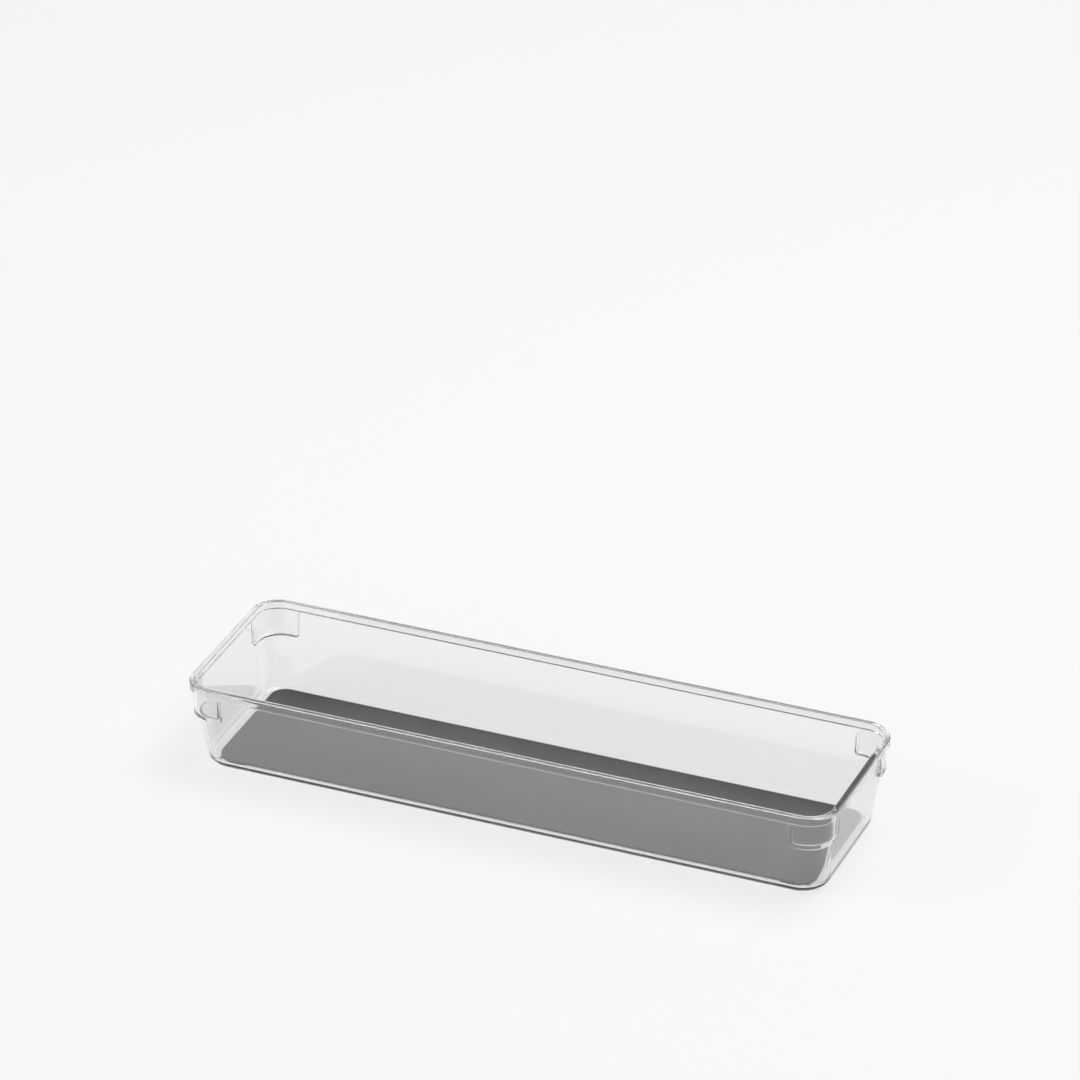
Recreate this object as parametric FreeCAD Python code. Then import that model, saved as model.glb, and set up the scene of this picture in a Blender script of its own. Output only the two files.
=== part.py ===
import FreeCAD, Part
import math
import os

# Shallow drawer organizer: a long clear moulded tray with a thick rim, a stepped shoulder
# wrapped round each upper corner, a soft mat bonded to its floor and four rubber feet.
# Millimetres, +Z up. The origin is the middle of the footprint, on the plane that the feet
# stand on. X runs along the tray, Y across it, and the front is at -Y.

# Overall
rim_length = 304.8
rim_width = 88.9
overall_height = 42.7

# Rim band
rim_corner_radius = 13.8
rim_band_height = 4.0
rim_overhang = 1.7
rim_crown_radius = 1.2
rim_edge_radius = 0.6

# Body: leaning walls and a flat floor
wall_thickness = 1.4
floor_thickness = 1.8
end_lean = 6.2
side_lean = 7.15
base_corner_radius = 12.5
base_edge_radius = 2.4
floor_fillet_radius = 2.0

# Corner shoulders, which stop a stacked tray on the rim of the one below
shoulder_reach = 18.9
shoulder_drop = 16.6
shoulder_stand_out = 0.1
shoulder_corner_radius = 1.5
shoulder_edge_radius = 0.5

# Mat on the floor, clear of the fillet where the walls meet the floor
mat_thickness = 1.0
mat_end_clearance = 1.9
mat_side_clearance = 1.0
mat_edge_radius = 0.3

# Feet, each in a round pocket in the flat underside
foot_diameter = 12.0
foot_stand_out = 0.5
foot_bevel = 0.3
foot_end_margin = 6.8
foot_side_margin = 0.9
pocket_depth = 0.5
pocket_clearance = 0.15

# Heights
base_z = foot_stand_out
floor_top = base_z + floor_thickness
rim_under = overall_height - rim_band_height
shoulder_bottom = overall_height - shoulder_drop

# Footprint of the body, which leans in from the outer edge of the rim on all four sides
base_length = rim_length - 2 * end_lean
base_width = rim_width - 2 * side_lean

# Distances in from the outer edge of the rim
mouth_inset = rim_overhang + wall_thickness
shoulder_inset = rim_overhang - shoulder_stand_out

# Wall of a shoulder, the same at its faces, its ends and its ledge
shoulder_wall = mouth_inset - shoulder_inset

CORNERS = {
    "front_left": (-1, -1),
    "front_right": (1, -1),
    "rear_right": (1, 1),
    "rear_left": (-1, 1),
}


def rounded_outline(length, width, radius, z):
    """Closed wire of four lines and four quarter arcs, centred on the Z axis at height z."""
    arcs = []
    for turn, (sx, sy) in enumerate(((1, 1), (-1, 1), (-1, -1), (1, -1))):
        centre = FreeCAD.Vector(sx * (length / 2 - radius), sy * (width / 2 - radius), z)
        angles = [math.radians(90 * turn + step) for step in (0, 45, 90)]
        spokes = [FreeCAD.Vector(math.cos(a), math.sin(a), 0) for a in angles]
        arcs.append([centre + spoke * radius for spoke in spokes])
    edges = []
    for arc, following in zip(arcs, arcs[1:] + arcs[:1]):
        edges.append(Part.Arc(*arc).toShape())
        edges.append(Part.LineSegment(arc[2], following[0]).toShape())
    return Part.Wire(edges)


def rim_block(inset, z_low, z_high):
    """Upright block with the rim's outline, set in all round by inset."""
    outline = rounded_outline(
        rim_length - 2 * inset,
        rim_width - 2 * inset,
        rim_corner_radius - inset,
        z_low,
    )
    return Part.Face(outline).extrude(FreeCAD.Vector(0, 0, z_high - z_low))


def wall_outline(z, inward):
    """Outline of the leaning wall's outer face at height z, set in by inward."""
    share = (rim_under - z) / (rim_under - base_z)
    length_above = rim_length - 2 * rim_overhang
    width_above = rim_width - 2 * rim_overhang
    radius_above = rim_corner_radius - rim_overhang
    return rounded_outline(
        length_above + (base_length - length_above) * share - 2 * inward,
        width_above + (base_width - width_above) * share - 2 * inward,
        radius_above + (base_corner_radius - radius_above) * share - inward,
        z,
    )


def leaning_block(z_low, inward):
    """Block from z_low up to the rim band, whose sides lean as the walls do."""
    outlines = [wall_outline(z_low, inward), wall_outline(rim_under, inward)]
    return Part.makeLoft(outlines, True, True)


def level_edges(shape, z):
    """The edges of a shape that lie in the level plane at height z."""
    tolerance = 1e-4
    return [
        edge for edge in shape.Edges
        if abs(edge.BoundBox.ZMin - z) < tolerance and abs(edge.BoundBox.ZMax - z) < tolerance
    ]


def corner_zone(sx, sy, set_in, z_low):
    """Region above z_low round one corner of the tray, as far in as the shoulder reaches.

    Its two lower inner edges are round, so a shoulder's ends curve into its underside.
    """
    start_x = rim_length / 2 - shoulder_reach + set_in
    start_y = rim_width / 2 - shoulder_reach + set_in
    corner = FreeCAD.Vector(start_x, start_y, z_low)
    zone = Part.makeBox(2 * shoulder_reach, 2 * shoulder_reach, overall_height, corner)
    inner = [
        edge for edge in level_edges(zone, z_low)
        if edge.BoundBox.XMax < start_x + shoulder_reach or edge.BoundBox.YMax < start_y + shoulder_reach
    ]
    zone = zone.makeFillet(shoulder_corner_radius, inner)
    if sx < 0:
        zone = zone.mirror(FreeCAD.Vector(0, 0, 0), FreeCAD.Vector(1, 0, 0))
    if sy < 0:
        zone = zone.mirror(FreeCAD.Vector(0, 0, 0), FreeCAD.Vector(0, 1, 0))
    return zone


def rim_band():
    """Thick band round the top, with a full crown on its upper outer edge."""
    band = rim_block(0, rim_under, overall_height)
    band = band.makeFillet(rim_edge_radius, level_edges(band, rim_under))
    return band.makeFillet(rim_crown_radius, level_edges(band, overall_height))


def body():
    """Outside of the walls and floor, still solid, with the bottom edge rounded."""
    block = leaning_block(base_z, 0)
    return block.makeFillet(base_edge_radius, level_edges(block, base_z))


def shoulders():
    """The four stepped corners, upright on the outside and still solid."""
    ring = rim_block(shoulder_inset, shoulder_bottom, rim_under)
    ring = ring.makeFillet(shoulder_edge_radius, level_edges(ring, shoulder_bottom))
    return [ring.common(corner_zone(sx, sy, 0, shoulder_bottom)) for sx, sy in CORNERS.values()]


def cavity():
    """The space inside the walls, rounded where it meets the floor."""
    space = leaning_block(floor_top, wall_thickness)
    return space.makeFillet(floor_fillet_radius, level_edges(space, floor_top))


def mouth():
    """Upright opening through the rim band."""
    return rim_block(mouth_inset, rim_under, overall_height)


def shoulder_recesses():
    """Inner steps of the shoulders, which carry the face of the mouth down to their ledges."""
    ledge = shoulder_bottom + shoulder_wall
    ring = rim_block(mouth_inset, ledge, rim_under)
    return [ring.common(corner_zone(sx, sy, shoulder_wall, ledge)) for sx, sy in CORNERS.values()]


def foot_place(sx, sy, z):
    """Point on a foot's axis, measured in from the edges of the flat underside."""
    to_edge = base_edge_radius + foot_diameter / 2
    x = base_length / 2 - to_edge - foot_end_margin
    y = base_width / 2 - to_edge - foot_side_margin
    return FreeCAD.Vector(sx * x, sy * y, z)


def foot_pockets():
    """Shallow round pockets in the underside, a little wider than the feet."""
    radius = foot_diameter / 2 + pocket_clearance
    places = [foot_place(sx, sy, base_z) for sx, sy in CORNERS.values()]
    return [Part.makeCylinder(radius, pocket_depth, place) for place in places]


def tray():
    """The clear moulding: rim band, leaning walls, floor and stepped corners in one piece."""
    solid = body().fuse(shoulders() + [rim_band()])
    solid = solid.cut([cavity(), mouth()] + shoulder_recesses() + foot_pockets())
    solid = solid.removeSplitter()
    inner_edges = [
        edge for edge in level_edges(solid, overall_height)
        if edge.distToShape(mouth())[0] < rim_edge_radius
    ]
    return solid.makeFillet(rim_edge_radius, inner_edges)


def floor_mat():
    """Soft mat whose outline follows the flat part of the floor, with round upper edges."""
    length = base_length - 2 * (wall_thickness + floor_fillet_radius + mat_end_clearance)
    width = base_width - 2 * (wall_thickness + floor_fillet_radius + mat_side_clearance)
    radius = base_corner_radius - wall_thickness - floor_fillet_radius - mat_end_clearance
    face = Part.Face(rounded_outline(length, width, radius, floor_top))
    mat = face.extrude(FreeCAD.Vector(0, 0, mat_thickness))
    return mat.makeFillet(mat_edge_radius, level_edges(mat, floor_top + mat_thickness))


def foot(sx, sy):
    """Round rubber foot that fills its pocket's depth, bevelled at its lower edge."""
    disc = Part.makeCylinder(foot_diameter / 2, foot_stand_out + pocket_depth, foot_place(sx, sy, 0))
    return disc.makeChamfer(foot_bevel, level_edges(disc, 0))


def write(name, shape):
    """Check one piece and write it to its own file."""
    if len(shape.Solids) != 1 or not shape.isValid():
        raise RuntimeError("%s is not one valid solid" % name)
    solid = shape.Solids[0]
    solid.exportStep("parts/%s.step" % name)
    print("%-18s volume %9.1f mm3, %d faces" % (name, solid.Volume, len(solid.Faces)))


def main():
    os.makedirs("parts", exist_ok=True)
    write("tray", tray())
    write("floor_mat", floor_mat())
    for place, (sx, sy) in CORNERS.items():
        write("foot_" + place, foot(sx, sy))


main()
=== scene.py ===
"""Clear drawer organizer: a moulded tray with stepped corners, a soft mat and rubber feet."""

import math

import bpy
import numpy as np
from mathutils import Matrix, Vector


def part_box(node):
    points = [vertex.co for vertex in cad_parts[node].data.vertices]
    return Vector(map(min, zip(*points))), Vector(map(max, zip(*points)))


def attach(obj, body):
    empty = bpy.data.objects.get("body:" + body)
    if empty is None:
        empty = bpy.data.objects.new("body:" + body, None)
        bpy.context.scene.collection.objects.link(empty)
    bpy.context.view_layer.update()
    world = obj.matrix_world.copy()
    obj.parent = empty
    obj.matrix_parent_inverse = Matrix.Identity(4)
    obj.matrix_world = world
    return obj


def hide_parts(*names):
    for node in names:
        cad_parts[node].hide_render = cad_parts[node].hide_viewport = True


bl_info = {
    "name": "Clear Drawer Organizer",
    "version": (1, 0, 0),
    "blender": (4, 5, 0),
    "location": "View3D > Sidebar > Organizer",
    "description": "Builds a clear moulded drawer organizer with its mat, feet and a studio",
    "category": "Add Mesh",
}

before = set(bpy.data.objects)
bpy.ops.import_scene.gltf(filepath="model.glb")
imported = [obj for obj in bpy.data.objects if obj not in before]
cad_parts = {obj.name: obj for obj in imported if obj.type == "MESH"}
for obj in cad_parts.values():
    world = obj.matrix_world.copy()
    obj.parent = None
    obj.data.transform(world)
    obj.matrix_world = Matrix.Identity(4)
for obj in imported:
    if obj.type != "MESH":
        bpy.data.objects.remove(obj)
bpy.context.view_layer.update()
TRAY_LOW, TRAY_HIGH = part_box("tray")
MAT_LOW, MAT_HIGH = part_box("floor_mat")
FEET = sorted(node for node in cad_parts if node.startswith("foot_"))

# The photograph's frame, in its own pixels, and where the middle of the footprint shows in it
PHOTO_SIZE = 1080
ORIGIN_PIXEL = (537.39, 789.25)
FOCAL_PIXELS = 6620.29
SENSOR_WIDTH = 36.0


def distance(name, description, default):
    """A length in metres that the user can change."""
    return bpy.props.FloatProperty(
        name=name, description=description, default=default, min=0.0,
        subtype="DISTANCE", unit="LENGTH", precision=5,
    )


def colour(name, description, default):
    """A colour that the user can change."""
    return bpy.props.FloatVectorProperty(
        name=name, description=description, default=default, min=0.0, max=1.0,
        size=3, subtype="COLOR",
    )


def share(name, description, default):
    """A share from 0 to 1 that the user can change."""
    return bpy.props.FloatProperty(
        name=name, description=description, default=default, min=0.0, max=1.0, subtype="FACTOR",
    )


class TraySizes(bpy.types.PropertyGroup):
    """Sizes of the clear moulding."""

    length: distance("Length", "Rim, along X", TRAY_HIGH.x - TRAY_LOW.x)
    width: distance("Width", "Rim, along Y", TRAY_HIGH.y - TRAY_LOW.y)
    top: distance("Top", "Height of the rim's top above the ground", TRAY_HIGH.z)
    underside: distance("Underside", "Height of the flat underside", TRAY_LOW.z)
    corner_radius: distance("Rim corner", "Radius of the rim's corners in plan", 0.0138)
    band_height: distance("Band height", "Height of the thick rim band", 0.004)
    overhang: distance("Overhang", "How far the band stands out past the wall", 0.0017)
    crown: distance("Band crown", "Radius of the band's upper outer edge", 0.0012)
    band_edge: distance("Band edge", "Radius of the band's other long edges", 0.0006)
    wall: distance("Wall", "Thickness of the leaning walls", 0.0014)
    floor: distance("Floor", "Thickness of the floor", 0.0018)
    end_lean: distance("End lean", "Foot of the end walls, in from the rim", 0.0062)
    side_lean: distance("Side lean", "Foot of the long walls, in from the rim", 0.00715)
    base_corner: distance("Base corner", "Radius of the body's corners at the base", 0.0125)
    base_edge: distance("Base edge", "Radius of the edge round the underside", 0.0024)
    floor_fillet: distance("Floor fillet", "Radius where the walls meet the floor inside", 0.002)
    reach: distance("Shoulder reach", "Shoulder's length from the rim's outer edge", 0.0189)
    drop: distance("Shoulder drop", "Shoulder's underside below the rim's top", 0.0166)
    stand_out: distance("Shoulder step", "Shoulder's face out past the wall at the band", 0.0001)
    shoulder_corner: distance("Shoulder corner", "Radius of its lower corners, seen square on", 0.0015)
    shoulder_edge: distance("Shoulder edge", "Width over which a shoulder steps in", 0.00045)
    hollow: distance("Hollow", "Radius of the hollow corner under the band", 0.00025)


class MatSizes(bpy.types.PropertyGroup):
    """Sizes of the soft floor mat."""

    corner_radius: distance("Corner", "Radius of the mat's corners in plan", 0.0072)
    edge: distance("Edge", "Radius of the mat's upper edge", 0.00035)
    sink: distance("Bond", "Depth that the bonded face reaches into the floor", 0.00003)


class FootSizes(bpy.types.PropertyGroup):
    """Sizes of the rubber feet."""

    edge: distance("Edge", "Radius of a foot's lower edge", 0.00028)
    dish: distance("Dish", "Depth of the hollow in a foot's underside", 0.00006)


class Finishes(bpy.types.PropertyGroup):
    """Colours and gloss of the pieces."""

    clear: colour("Clear plastic", "Tint of the tray", (0.95, 0.953, 0.95))
    clear_gloss: share("Plastic roughness", "Roughness of the polished plastic", 0.05)
    mat: colour("Mat", "Colour of the soft mat", (0.132, 0.134, 0.137))
    foot: colour("Feet", "Colour of the rubber feet", (0.07, 0.07, 0.072))


class StudioSettings(bpy.types.PropertyGroup):
    """Floor, lamps and camera."""

    floor: colour("Floor", "Colour of the pale floor", (0.95, 0.95, 0.95))
    azimuth: bpy.props.FloatProperty(
        name="Azimuth", description="Camera's turn round the tray, from the front",
        default=math.radians(22.519), subtype="ANGLE",
    )
    elevation: bpy.props.FloatProperty(
        name="Elevation", description="Camera's height angle above the ground",
        default=math.radians(31.263), subtype="ANGLE",
    )
    range: distance("Range", "Camera's distance from the middle of the footprint", 2.9226)


# Shapes

# The grid of the tray's mesh, which changes none of its sizes: the step where a shoulder ends,
# the narrow strips beside roundings and on the walls, the lines on the flat underside and
# floor, the shares of each plain stretch that get a line, and the steps round a corner
GRID_STEP = 0.00014
ROUNDING_MARGIN = 0.0001
PLAIN_MARGIN = 0.0003
FLAT_INSETS = (0.0004, 0.006, 0.012)
LONG_SHARES = (0.0, 0.45, 0.9, 0.995)
SHORT_SHARES = (0.0, 0.55, 0.97)
CORNER_STEPS = 28

# The grids of the mat and a foot: the steps round them, how far in the mat's innermost ring
# lies, and the shares of a foot's radius at its hollow's rings, its hollow's edge and its top
MAT_CORNER_STEPS = 24
MAT_INNER_INSET = 0.004
FOOT_STEPS = 72
HOLLOW_SHARES = (0.1, 0.5, 0.7)
HOLLOW_END = 0.78
FOOT_TOP_SHARE = 0.5


def rim_outline(sizes, inset):
    """Half length, half width and corner radius of the rim's outline, set in by inset."""
    return sizes.length / 2 - inset, sizes.width / 2 - inset, sizes.corner_radius - inset


def wall_outline(sizes, z, inset):
    """Half length, half width and corner radius of the leaning wall at height z.

    Each is the straight-line share between its value under the band and at the underside.
    """
    above = sizes.top - sizes.band_height
    down = np.clip((above - z) / (above - sizes.underside), 0.0, 1.0)
    under_band = np.array(rim_outline(sizes, sizes.overhang))
    base = np.array((
        sizes.length / 2 - sizes.end_lean,
        sizes.width / 2 - sizes.side_lean,
        sizes.base_corner,
    ))
    return tuple(a + (b - a) * down - inset for a, b in zip(under_band, base))


def plan_lines(shares, start, end, corner):
    """Places of the grid lines along one half side, from its middle to the corner's start.

    The plain stretch has a line at each share of its length, and the fine stretch, where a
    shoulder ends, has lines about a grid step apart.
    """
    fine = np.linspace(start, end, int(round((end - start) / GRID_STEP)) + 1)
    return np.concatenate([start * np.array(shares), fine, [corner]])


def quarter(outline, x_lines, y_lines, corner_steps):
    """Points of a rounded rectangle's first quarter, from the +X side's middle to +Y's.

    On each side a point keeps its grid line's x or y. Round the corner the angle runs
    evenly from the last line of one side to the first of the other:
    x = cx + r cos(angle), y = cy + r sin(angle). Every outline value may be an array.
    """
    half_x, half_y, radius = (np.asarray(v, float)[..., None] for v in outline)
    cx, cy = half_x - radius, half_y - radius
    beside = np.clip((y_lines - cy) / radius, 0.0, 1.0)
    side = np.stack(np.broadcast_arrays(cx + radius * np.sqrt(1 - beside ** 2), y_lines + 0 * cx), -1)
    along = np.clip((x_lines - cx) / radius, 0.0, 1.0)
    back = np.stack(np.broadcast_arrays(x_lines + 0 * cy, cy + radius * np.sqrt(1 - along ** 2)), -1)
    first = np.arcsin(beside[..., -1:])
    last = np.arccos(along[..., -1:])
    t = np.linspace(0.0, 1.0, corner_steps + 1)[1:-1]
    angle = first + (last - first) * t
    corner = np.stack([cx + radius * np.cos(angle), cy + radius * np.sin(angle)], -1)
    return np.concatenate([side, corner, back[..., ::-1, :]], -2)


def full_turn(points):
    """The whole outline from its first quarter, by mirroring it in both axes."""
    left = points[..., ::-1, :][..., 1:, :] * (-1, 1)
    half = np.concatenate([points, left], -2)
    front = half[..., ::-1, :][..., 1:-1, :] * (1, -1)
    return np.concatenate([half, front], -2)


def shoulder_share(points, z, start_x, start_y, bottom, radius, width):
    """How far each point is into a shoulder, from 0 outside to 1 inside.

    The shoulder is where |x| > start_x, |y| > start_y and z > bottom, with a rounded lower
    corner: with h and v the distances past its end and its bottom, the distance outside is
    |max(h + r, 0), max(v + r, 0)| + min(max(h + r, v + r), 0) - r. The share falls from 1 to 0
    by 3t^2 - 2t^3 over the width.
    """
    x, y = np.abs(points[..., 0]), np.abs(points[..., 1])
    h = np.maximum(start_x - x, start_y - y) + radius
    v = bottom - z + radius
    outside = np.hypot(np.maximum(h, 0), np.maximum(v, 0)) + np.minimum(np.maximum(h, v), 0) - radius
    t = np.clip(0.5 - outside / width, 0.0, 1.0)
    return t * t * (3 - 2 * t)


def arc(count, start, stop):
    """Cosine and sine at even steps from one angle in degrees to another."""
    angle = np.radians(np.linspace(start, stop, count))
    return np.cos(angle), np.sin(angle)


def grid_faces(rings, around):
    """Quads between neighbouring rings, each ring closed on itself."""
    i = np.arange(rings - 1)[:, None] * around
    j = np.arange(around)[None, :]
    k = (j + 1) % around
    return np.stack([i + j, i + k, i + around + k, i + around + j], -1).reshape(-1, 4)


def mesh_piece(name, points):
    """A smooth closed piece from rings of points, shape (rings, around, 3), outside first.

    Its first and last rings are each closed by one flat face.
    """
    rings, around = points.shape[:2]
    faces = grid_faces(rings, around).tolist()
    faces.append(list(range(around))[::-1])
    faces.append(list(range((rings - 1) * around, rings * around)))
    mesh = bpy.data.meshes.new(name)
    mesh.from_pydata(points.reshape(-1, 3), [], faces)
    mesh.polygons.foreach_set("use_smooth", np.ones(len(mesh.polygons), bool))
    mesh.update()
    piece = bpy.data.objects.new(name, mesh)
    bpy.context.scene.collection.objects.link(piece)
    return piece


def tray_rows(sizes):
    """Rows of the tray's skin, up the outside, over the band and down the inside.

    Each row gives a ring's height, its inset from the leaning wall or None, its inset from
    the rim's outline or None, and the shoulder zone that it crosses or None. The thickness
    of a shoulder's wall comes with them.
    """
    band_under = sizes.top - sizes.band_height
    mouth = sizes.overhang + sizes.wall
    face = sizes.overhang - sizes.stand_out
    shell = mouth - face
    bottom = sizes.top - sizes.drop
    floor_top = sizes.underside + sizes.floor
    margin = sizes.shoulder_edge / 2 + GRID_STEP
    rows = []

    def row(z, wall_inset, rim_inset, zone):
        rows.append((z, wall_inset, rim_inset, zone))

    # Outside: underside, base edge and wall
    edge = sizes.base_edge
    for inset in reversed(FLAT_INSETS):
        row(sizes.underside, edge + inset, None, None)
    for c, s in zip(*arc(9, 90, 0)):
        row(sizes.underside + edge * (1 - s), edge * (1 - c), None, None)
    lowest = sizes.underside + edge
    fine = np.arange(bottom - margin, bottom + sizes.shoulder_corner + margin, GRID_STEP)
    plain = np.linspace(lowest + PLAIN_MARGIN, fine[0] - GRID_STEP, 8)
    upper = np.linspace(fine[-1] + GRID_STEP, band_under - PLAIN_MARGIN, 5)
    for z in np.concatenate([plain, fine, upper]):
        row(z, 0.0, face, "outer")
    # Hollow corner under the band, then round the band's two outer edges
    for c, s in zip(*arc(5, 0, 90)):
        shift = sizes.hollow * (c - 1)
        row(band_under - sizes.hollow * (1 - s), shift, face + shift, "outer")
    b = sizes.band_edge
    row(band_under, None, b + ROUNDING_MARGIN, None)
    for c, s in zip(*arc(7, -90, 0)):
        row(band_under + b * (1 + s), None, b * (1 - c), None)
    row(band_under + b + ROUNDING_MARGIN, None, 0.0, None)
    crown = sizes.crown
    row(sizes.top - crown - ROUNDING_MARGIN, None, 0.0, None)
    for c, s in zip(*arc(10, 0, 90)):
        row(sizes.top - crown * (1 - s), None, crown * (1 - c), None)
    row(sizes.top, None, crown + ROUNDING_MARGIN, None)
    row(sizes.top, None, mouth - b - ROUNDING_MARGIN, None)
    # Inside: mouth, recess, wall and floor
    for c, s in zip(*arc(7, 90, 0)):
        row(sizes.top - b * (1 - s), None, mouth - b * (1 - c), None)
    row(sizes.top - b - ROUNDING_MARGIN, None, mouth, None)
    row(band_under + ROUNDING_MARGIN, None, mouth, None)
    ledge = bottom + shell
    fine = np.arange(ledge - margin, ledge + sizes.shoulder_corner + margin, GRID_STEP)[::-1]
    upper = np.linspace(band_under - ROUNDING_MARGIN, fine[0] + GRID_STEP, 5)
    fillet = sizes.floor_fillet
    plain = np.linspace(fine[-1] - GRID_STEP, floor_top + fillet + PLAIN_MARGIN, 8)
    for z in np.concatenate([upper, fine, plain]):
        row(z, sizes.wall, mouth, "inner")
    for c, s in zip(*arc(9, 0, 90)):
        row(floor_top + fillet * (1 - s), sizes.wall + fillet * (1 - c), None, None)
    for inset in FLAT_INSETS:
        row(floor_top, sizes.wall + fillet + inset, None, None)
    return rows, shell


def tray_points(sizes):
    """All points of the tray's skin as one array, from its rows and its plan lines.

    Every ring is a wall outline or a rim outline at its own height. Where the shoulder's
    share is above 0, a point moves by that share from the wall's outline to the rim's
    outline set in to the shoulder's face.
    """
    rows, shell = tray_rows(sizes)
    reach_x = sizes.length / 2 - sizes.reach
    reach_y = sizes.width / 2 - sizes.reach
    corner_x = sizes.length / 2 - sizes.corner_radius
    corner_y = sizes.width / 2 - sizes.corner_radius
    margin = sizes.shoulder_edge / 2 + GRID_STEP
    round_end = shell + sizes.shoulder_corner + margin
    x_lines = plan_lines(LONG_SHARES, reach_x - margin, reach_x + round_end, corner_x)
    y_lines = plan_lines(SHORT_SHARES, reach_y - margin, reach_y + round_end, corner_y)
    zones = {
        "outer": (0.0, sizes.top - sizes.drop),
        "inner": (shell, sizes.top - sizes.drop + shell),
    }
    rings = []
    for z, wall_inset, rim_inset, zone in rows:
        if wall_inset is None:
            outline = rim_outline(sizes, rim_inset)
        else:
            outline = wall_outline(sizes, z, wall_inset)
        ring = quarter(outline, x_lines, y_lines, CORNER_STEPS)
        if zone:
            set_in, bottom = zones[zone]
            stepped = quarter(rim_outline(sizes, rim_inset), x_lines, y_lines, CORNER_STEPS)
            inside = shoulder_share(
                stepped, z, reach_x + set_in, reach_y + set_in, bottom,
                sizes.shoulder_corner, sizes.shoulder_edge,
            )
            ring = ring + (stepped - ring) * inside[..., None]
        turn = full_turn(ring)
        rings.append(np.column_stack([turn, np.full(len(turn), z)]))
    return np.array(rings)


def plain_turn(outline, corner_steps):
    """A rounded rectangle's whole outline, with a few even lines on each straight side."""
    half_x, half_y, radius = outline
    x_lines = np.linspace(0.0, half_x - radius, 4)
    y_lines = np.linspace(0.0, half_y - radius, 3)
    return full_turn(quarter(outline, x_lines, y_lines, corner_steps))


def mat_points(sizes):
    """Rings of the mat: its bonded face, its side, its rounded upper edge and its top."""
    half_x, half_y = (MAT_HIGH.x - MAT_LOW.x) / 2, (MAT_HIGH.y - MAT_LOW.y) / 2
    rings = []

    def ring(inset, z):
        outline = (half_x - inset, half_y - inset, sizes.corner_radius - inset)
        turn = plain_turn(outline, MAT_CORNER_STEPS)
        rings.append(np.column_stack([turn, np.full(len(turn), z)]))

    low, high, edge = MAT_LOW.z - sizes.sink, MAT_HIGH.z, sizes.edge
    ring(2 * ROUNDING_MARGIN, low)
    ring(0.0, low)
    ring(0.0, low + ROUNDING_MARGIN)
    for c, s in zip(*arc(7, 0, 90)):
        ring(edge * (1 - c), high - edge * (1 - s))
    ring(edge + 2 * ROUNDING_MARGIN, high)
    ring(edge + MAT_INNER_INSET, high)
    return np.array(rings)


def foot_points(sizes, low, high):
    """Rings of a foot: a profile of radii r and heights z, turned round the foot's axis.

    x = cx + r cos(angle), y = cy + r sin(angle). The underside has a shallow hollow.
    """
    centre_x, centre_y = (low.x + high.x) / 2, (low.y + high.y) / 2
    radius = (high.x - low.x) / 2
    edge = sizes.edge
    profile = [(radius * part, low.z + sizes.dish) for part in HOLLOW_SHARES]
    profile += [(radius * HOLLOW_END, low.z), (radius - edge - ROUNDING_MARGIN, low.z)]
    profile += [(radius - edge * (1 - c), low.z + edge * (1 - s)) for c, s in zip(*arc(6, 90, 0))]
    profile += [(radius, high.z - ROUNDING_MARGIN), (radius - ROUNDING_MARGIN, high.z)]
    profile += [(radius * FOOT_TOP_SHARE, high.z)]
    c, s = arc(FOOT_STEPS + 1, 0, 360)
    turned = [
        np.column_stack([centre_x + r * c[:-1], centre_y + r * s[:-1], np.full(FOOT_STEPS, z)])
        for r, z in profile
    ]
    return np.array(turned)


# Finishes

# Mark scales of the handling marks: stretched into hairlines, and even, for scuffs
HAIRLINES = (40.0, 900.0, 300.0)
SCUFFS = (700.0, 700.0, 700.0)


class Nodes:
    """A short way to add and join nodes in one node tree."""

    def __init__(self, tree):
        self.tree = tree

    def add(self, kind, **settings):
        node = self.tree.nodes.new(kind)
        for name, value in settings.items():
            if hasattr(node, name):
                setattr(node, name, value)
            else:
                node.inputs[name.replace("_", " ")].default_value = value
        return node

    def join(self, out, into):
        self.tree.links.new(out, into)


def new_material(name):
    """An empty node material with a Principled shader, and its helper."""
    material = bpy.data.materials.new(name)
    material.use_nodes = True
    nodes = Nodes(material.node_tree)
    return material, nodes, material.node_tree.nodes["Principled BSDF"]


def shared_group(name, build):
    """A node group by its name, built the first time that it is asked for."""
    return bpy.data.node_groups.get(name) or build()


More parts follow.
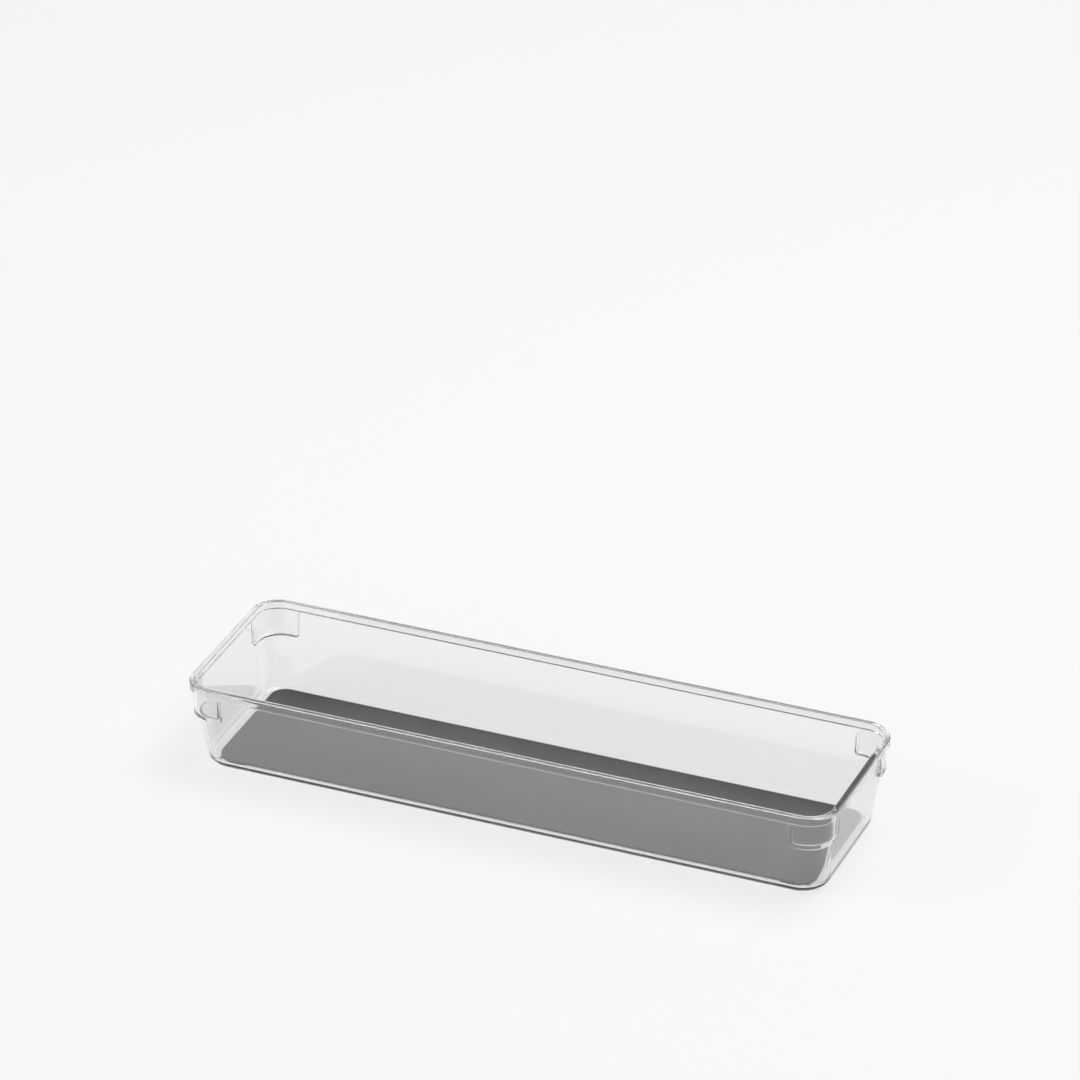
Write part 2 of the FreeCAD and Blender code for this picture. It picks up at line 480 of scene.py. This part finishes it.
def handling_group():
    """Where hands and use have dulled a surface: a mask from 0, fresh, to 1, rubbed.

    Two noises of the piece's own coordinates are multiplied together and cut off below a
    level: a broad one for patches, and a fine one for the marks in them. A mark scale that
    is uneven stretches the marks into hairlines, and an even one makes them scuffs.
    """
    group = bpy.data.node_groups.new("Handling Marks", "ShaderNodeTree")
    patch = group.interface.new_socket("Patch Scale", in_out="INPUT", socket_type="NodeSocketFloat")
    patch.default_value = 30.0
    mark = group.interface.new_socket("Mark Scale", in_out="INPUT", socket_type="NodeSocketVector")
    mark.default_value = HAIRLINES
    group.interface.new_socket("Mask", in_out="OUTPUT", socket_type="NodeSocketFloat")
    nodes = Nodes(group)
    start = nodes.add("NodeGroupInput")
    end = nodes.add("NodeGroupOutput")
    place = nodes.add("ShaderNodeTexCoord")
    patches = nodes.add("ShaderNodeTexNoise", Detail=3.0)
    nodes.join(place.outputs["Object"], patches.inputs["Vector"])
    nodes.join(start.outputs["Patch Scale"], patches.inputs["Scale"])
    stretch = nodes.add("ShaderNodeMapping")
    nodes.join(place.outputs["Object"], stretch.inputs["Vector"])
    nodes.join(start.outputs["Mark Scale"], stretch.inputs["Scale"])
    fine = nodes.add("ShaderNodeTexNoise", Scale=1.0, Detail=2.0)
    nodes.join(stretch.outputs["Vector"], fine.inputs["Vector"])
    both = nodes.add("ShaderNodeMath", operation="MULTIPLY")
    nodes.join(patches.outputs["Fac"], both.inputs[0])
    nodes.join(fine.outputs["Fac"], both.inputs[1])
    cut = nodes.add("ShaderNodeMapRange")
    cut.inputs["From Min"].default_value = 0.2
    cut.inputs["From Max"].default_value = 0.45
    nodes.join(both.outputs[0], cut.inputs["Value"])
    nodes.join(cut.outputs["Result"], end.inputs["Mask"])
    return group


def grain_group():
    """Fine moulded grain: one value from 0 to 1 that serves as a height and as a mask.

    It is the distance to the nearest of many scattered points, multiplied by a finer noise.
    """
    group = bpy.data.node_groups.new("Moulded Grain", "ShaderNodeTree")
    grain = group.interface.new_socket("Grain Scale", in_out="INPUT", socket_type="NodeSocketFloat")
    grain.default_value = 2500.0
    group.interface.new_socket("Height", in_out="OUTPUT", socket_type="NodeSocketFloat")
    nodes = Nodes(group)
    start = nodes.add("NodeGroupInput")
    end = nodes.add("NodeGroupOutput")
    place = nodes.add("ShaderNodeTexCoord")
    cells = nodes.add("ShaderNodeTexVoronoi", feature="SMOOTH_F1")
    nodes.join(place.outputs["Object"], cells.inputs["Vector"])
    nodes.join(start.outputs["Grain Scale"], cells.inputs["Scale"])
    speckle = nodes.add("ShaderNodeTexNoise", Scale=900.0, Detail=4.0)
    nodes.join(place.outputs["Object"], speckle.inputs["Vector"])
    mixed = nodes.add("ShaderNodeMath", operation="MULTIPLY")
    nodes.join(cells.outputs["Distance"], mixed.inputs[0])
    nodes.join(speckle.outputs["Fac"], mixed.inputs[1])
    nodes.join(mixed.outputs[0], end.inputs["Height"])
    return group


def clear_plastic(finishes):
    """Polished clear styrene with a faint haze, flow waves and hairline wear."""
    material, nodes, shader = new_material("Clear Polished Plastic")
    shader.inputs["Base Color"].default_value = (*finishes.clear, 1.0)
    shader.inputs["Transmission Weight"].default_value = 0.96
    shader.inputs["IOR"].default_value = 1.57
    handling = shared_group("Handling Marks", handling_group)
    marks = nodes.add("ShaderNodeGroup", node_tree=handling)
    marks.inputs["Patch Scale"].default_value = 18.0
    marks.inputs["Mark Scale"].default_value = HAIRLINES
    dull = nodes.add("ShaderNodeMapRange")
    dull.inputs["To Min"].default_value = finishes.clear_gloss * 0.75
    dull.inputs["To Max"].default_value = finishes.clear_gloss * 1.3
    nodes.join(marks.outputs["Mask"], dull.inputs["Value"])
    nodes.join(dull.outputs["Result"], shader.inputs["Roughness"])
    place = nodes.add("ShaderNodeTexCoord")
    waves = nodes.add("ShaderNodeTexNoise", Scale=28.0, Detail=1.0)
    nodes.join(place.outputs["Object"], waves.inputs["Vector"])
    bump = nodes.add("ShaderNodeBump", Strength=0.04, Distance=0.0012)
    nodes.join(waves.outputs["Fac"], bump.inputs["Height"])
    nodes.join(bump.outputs["Normal"], shader.inputs["Normal"])
    return material


def soft_rubber(name, tint, roughness, grain_scale, depth):
    """Matte moulded rubber: grain in the height, with the grain and scuffs also in the colour."""
    material, nodes, shader = new_material(name)
    grain = shared_group("Moulded Grain", grain_group)
    texture = nodes.add("ShaderNodeGroup", node_tree=grain)
    texture.inputs["Grain Scale"].default_value = grain_scale
    handling = shared_group("Handling Marks", handling_group)
    marks = nodes.add("ShaderNodeGroup", node_tree=handling)
    marks.inputs["Patch Scale"].default_value = 22.0
    marks.inputs["Mark Scale"].default_value = SCUFFS
    shades = nodes.add("ShaderNodeValToRGB")
    low, high = shades.color_ramp.elements
    low.color = (*(c * 0.86 for c in tint), 1.0)
    high.color = (*(c * 1.1 for c in tint), 1.0)
    high.position = 0.5
    nodes.join(texture.outputs["Height"], shades.inputs["Fac"])
    worn = nodes.add("ShaderNodeMix", data_type="RGBA", blend_type="MIX")
    worn.inputs["B"].default_value = (*(c * 1.25 for c in tint), 1.0)
    amount = nodes.add("ShaderNodeMath", operation="MULTIPLY")
    amount.inputs[1].default_value = 0.35
    nodes.join(marks.outputs["Mask"], amount.inputs[0])
    nodes.join(amount.outputs[0], worn.inputs["Factor"])
    nodes.join(shades.outputs["Color"], worn.inputs["A"])
    nodes.join(worn.outputs["Result"], shader.inputs["Base Color"])
    rough = nodes.add("ShaderNodeMapRange")
    rough.inputs["To Min"].default_value = roughness
    rough.inputs["To Max"].default_value = roughness - 0.12
    nodes.join(marks.outputs["Mask"], rough.inputs["Value"])
    nodes.join(rough.outputs["Result"], shader.inputs["Roughness"])
    bump = nodes.add("ShaderNodeBump", Strength=0.35, Distance=depth)
    nodes.join(texture.outputs["Height"], bump.inputs["Height"])
    nodes.join(bump.outputs["Normal"], shader.inputs["Normal"])
    shader.inputs["IOR"].default_value = 1.45
    return material


def dress(piece, material, slot, *nodes):
    """Give a piece its material, its body and the nodes that it stands for. Its slot is not used."""
    piece.data.materials.append(material)
    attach(piece, "root")
    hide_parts(*nodes)


class ORGANIZER_OT_tray(bpy.types.Operator):
    """Build the clear moulded tray"""

    bl_idname = "organizer.tray"
    bl_label = "Clear Tray"

    def execute(self, context):
        piece = mesh_piece("clear_tray", tray_points(context.scene.organizer_tray))
        dress(piece, clear_plastic(context.scene.organizer_finishes), "clear_plastic", "tray")
        return {"FINISHED"}


class ORGANIZER_OT_mat(bpy.types.Operator):
    """Build the soft mat on the tray's floor"""

    bl_idname = "organizer.mat"
    bl_label = "Floor Mat"

    def execute(self, context):
        piece = mesh_piece("soft_mat", mat_points(context.scene.organizer_mat))
        material = soft_rubber(
            "Soft Grey Mat", context.scene.organizer_finishes.mat,
            roughness=0.78, grain_scale=2600.0, depth=0.00012,
        )
        dress(piece, material, "soft_mat", "floor_mat")
        return {"FINISHED"}


class ORGANIZER_OT_feet(bpy.types.Operator):
    """Build the four rubber feet"""

    bl_idname = "organizer.feet"
    bl_label = "Rubber Feet"

    def execute(self, context):
        material = soft_rubber(
            "Grey Foot Rubber", context.scene.organizer_finishes.foot,
            roughness=0.62, grain_scale=3800.0, depth=0.00006,
        )
        sizes = context.scene.organizer_feet
        for node in FEET:
            piece = mesh_piece("rubber_" + node, foot_points(sizes, *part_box(node)))
            dress(piece, material, "foot_rubber", node)
        return {"FINISHED"}


# Studio

def aim_camera(settings):
    """Level camera whose picture shows the middle of the footprint at ORIGIN_PIXEL.

    The camera stands at the range along azimuth and elevation. With (a, b) the pixel's
    offset from the picture's middle in focal lengths, its pitch p solves
    sin(p) + b cos(p) = s |1, a, b|, where s is the sine of the line of sight's slope.
    """
    a = (ORIGIN_PIXEL[0] - PHOTO_SIZE / 2) / FOCAL_PIXELS
    b = (PHOTO_SIZE / 2 - ORIGIN_PIXEL[1]) / FOCAL_PIXELS
    slope = -math.sin(settings.elevation) * math.hypot(1.0, a, b)
    pitch = math.asin(slope / math.hypot(1.0, b)) - math.atan(b)
    turn = settings.azimuth + math.atan2(a, math.cos(pitch) - b * math.sin(pitch))
    data = bpy.data.cameras.new("Studio Camera")
    data.sensor_width = SENSOR_WIDTH
    data.lens = SENSOR_WIDTH * FOCAL_PIXELS / PHOTO_SIZE
    data.clip_start, data.clip_end = 0.1, 50.0
    camera = bpy.data.objects.new("Studio Camera", data)
    level = math.cos(settings.elevation) * settings.range
    camera.location = (
        math.sin(settings.azimuth) * level,
        -math.cos(settings.azimuth) * level,
        math.sin(settings.elevation) * settings.range,
    )
    camera.rotation_euler = (math.pi / 2 + pitch, 0.0, turn)
    bpy.context.scene.collection.objects.link(camera)
    bpy.context.scene.camera = camera


def studio_floor(settings):
    """Pale floor that takes the shadow, shown bright to the camera and through the plastic.

    Its seen share is the part of its seen colour that doesn't depend on the light.
    """
    mesh = bpy.data.meshes.new("studio_floor")
    reach = 3.0
    low = -0.0002
    seen_share = 0.75
    corners = [(-reach, -reach, low), (reach, -reach, low), (reach, reach, low), (-reach, reach, low)]
    mesh.from_pydata(corners, [], [(0, 1, 2, 3)])
    floor = bpy.data.objects.new("studio_floor", mesh)
    bpy.context.scene.collection.objects.link(floor)
    material, nodes, shader = new_material("Pale Floor")
    shader.inputs["Base Color"].default_value = (*settings.floor, 1.0)
    shader.inputs["Roughness"].default_value = 0.9
    glow = nodes.add("ShaderNodeEmission", Strength=1.0)
    glow.inputs["Color"].default_value = (*settings.floor, 1.0)
    seen = seen_rays(nodes)
    amount = nodes.add("ShaderNodeMath", operation="MULTIPLY")
    amount.inputs[1].default_value = seen_share
    nodes.join(seen, amount.inputs[0])
    mixed = nodes.add("ShaderNodeMixShader")
    nodes.join(amount.outputs[0], mixed.inputs["Fac"])
    nodes.join(shader.outputs["BSDF"], mixed.inputs[1])
    nodes.join(glow.outputs["Emission"], mixed.inputs[2])
    nodes.join(mixed.outputs["Shader"], nodes.tree.nodes["Material Output"].inputs["Surface"])
    mesh.materials.append(material)


def seen_rays(nodes):
    """1 for rays from the camera, mirrored or through the plastic, and 0 for the others."""
    path = nodes.add("ShaderNodeLightPath")
    first = nodes.add("ShaderNodeMath", operation="MAXIMUM")
    nodes.join(path.outputs["Is Camera Ray"], first.inputs[0])
    nodes.join(path.outputs["Is Glossy Ray"], first.inputs[1])
    second = nodes.add("ShaderNodeMath", operation="MAXIMUM")
    nodes.join(first.outputs[0], second.inputs[0])
    nodes.join(path.outputs["Is Transmission Ray"], second.inputs[1])
    return second.outputs[0]


def studio_world():
    """White up to about 25 degrees above the horizon, then a dark belt and a paler ceiling.

    A stop's position is the sine of its height angle.
    """
    world = bpy.data.worlds.new("Studio")
    bpy.context.scene.world = world
    world.use_nodes = True
    nodes = Nodes(world.node_tree)
    background = world.node_tree.nodes["Background"]
    place = nodes.add("ShaderNodeTexCoord")
    axes = nodes.add("ShaderNodeSeparateXYZ")
    nodes.join(place.outputs["Generated"], axes.inputs["Vector"])
    belt = nodes.add("ShaderNodeValToRGB")
    stops = belt.color_ramp.elements
    stops[0].color = (1.0, 1.0, 1.0, 1.0)
    stops[1].color = (0.75, 0.75, 0.75, 1.0)
    for position, grey in ((0.42, 0.97), (0.55, 0.06), (0.85, 0.06)):
        stops.new(position).color = (grey, grey, grey, 1.0)
    nodes.join(axes.outputs["Z"], belt.inputs["Fac"])
    path = nodes.add("ShaderNodeLightPath")
    seen = nodes.add("ShaderNodeMix", data_type="RGBA")
    seen.inputs["B"].default_value = (1.0, 1.0, 1.0, 1.0)
    nodes.join(path.outputs["Is Camera Ray"], seen.inputs["Factor"])
    nodes.join(belt.outputs["Color"], seen.inputs["A"])
    nodes.join(seen.outputs["Result"], background.inputs["Color"])


def soft_lamp(name, place, sides, power):
    """Rectangular soft lamp, turned to face the tray."""
    data = bpy.data.lights.new(name, "AREA")
    data.shape = "RECTANGLE"
    data.size, data.size_y = sides
    data.energy = power
    lamp = bpy.data.objects.new(name, data)
    x, y, z = place
    flat = math.hypot(x, y)
    lamp.location = place
    lamp.rotation_euler = (math.atan2(flat, z), 0.0, math.atan2(y, x) + math.pi / 2)
    bpy.context.scene.collection.objects.link(lamp)


class ORGANIZER_OT_studio(bpy.types.Operator):
    """Set up the floor, the soft lamps and the camera"""

    bl_idname = "organizer.studio"
    bl_label = "Studio"

    def execute(self, context):
        settings = context.scene.organizer_studio
        context.scene.view_settings.view_transform = "Standard"
        studio_floor(settings)
        studio_world()
        soft_lamp("Top Lamp", place=(0.55, 0.5, 1.6), sides=(1.2, 1.0), power=18.0)
        soft_lamp("Front Lamp", place=(-1.4, -1.0, 1.2), sides=(0.8, 0.8), power=11.5)
        aim_camera(settings)
        # Light runs down inside a wall and out at its far edge after many turns
        cycles = context.scene.cycles
        cycles.max_bounces = cycles.glossy_bounces = cycles.transmission_bounces = 48
        return {"FINISHED"}


class ORGANIZER_PT_panel(bpy.types.Panel):
    """Lists the sizes, the finishes and the steps that build the organizer"""

    bl_idname = "ORGANIZER_PT_panel"
    bl_label = "Drawer Organizer"
    bl_space_type = "VIEW_3D"
    bl_region_type = "UI"
    bl_category = "Organizer"

    def draw(self, context):
        layout = self.layout
        for group in SETTINGS:
            settings = getattr(context.scene, group)
            column = layout.column(align=True)
            for name in settings.__annotations__:
                column.prop(settings, name)
        for step in (ORGANIZER_OT_tray, ORGANIZER_OT_mat, ORGANIZER_OT_feet, ORGANIZER_OT_studio):
            layout.operator(step.bl_idname)


SETTINGS = {
    "organizer_tray": TraySizes,
    "organizer_mat": MatSizes,
    "organizer_feet": FootSizes,
    "organizer_finishes": Finishes,
    "organizer_studio": StudioSettings,
}
CLASSES = (
    *SETTINGS.values(),
    ORGANIZER_OT_tray,
    ORGANIZER_OT_mat,
    ORGANIZER_OT_feet,
    ORGANIZER_OT_studio,
    ORGANIZER_PT_panel,
)


def register():
    """Register every class and give the scene its groups of settings."""
    for cls in CLASSES:
        bpy.utils.register_class(cls)
    for name, group in SETTINGS.items():
        setattr(bpy.types.Scene, name, bpy.props.PointerProperty(type=group))


def unregister():
    """Take the settings and the classes away again."""
    for name in SETTINGS:
        delattr(bpy.types.Scene, name)
    for cls in reversed(CLASSES):
        bpy.utils.unregister_class(cls)


def main():
    register()
    bpy.ops.organizer.tray()
    bpy.ops.organizer.mat()
    bpy.ops.organizer.feet()
    bpy.ops.organizer.studio()


if __name__ == "__main__":
    main()
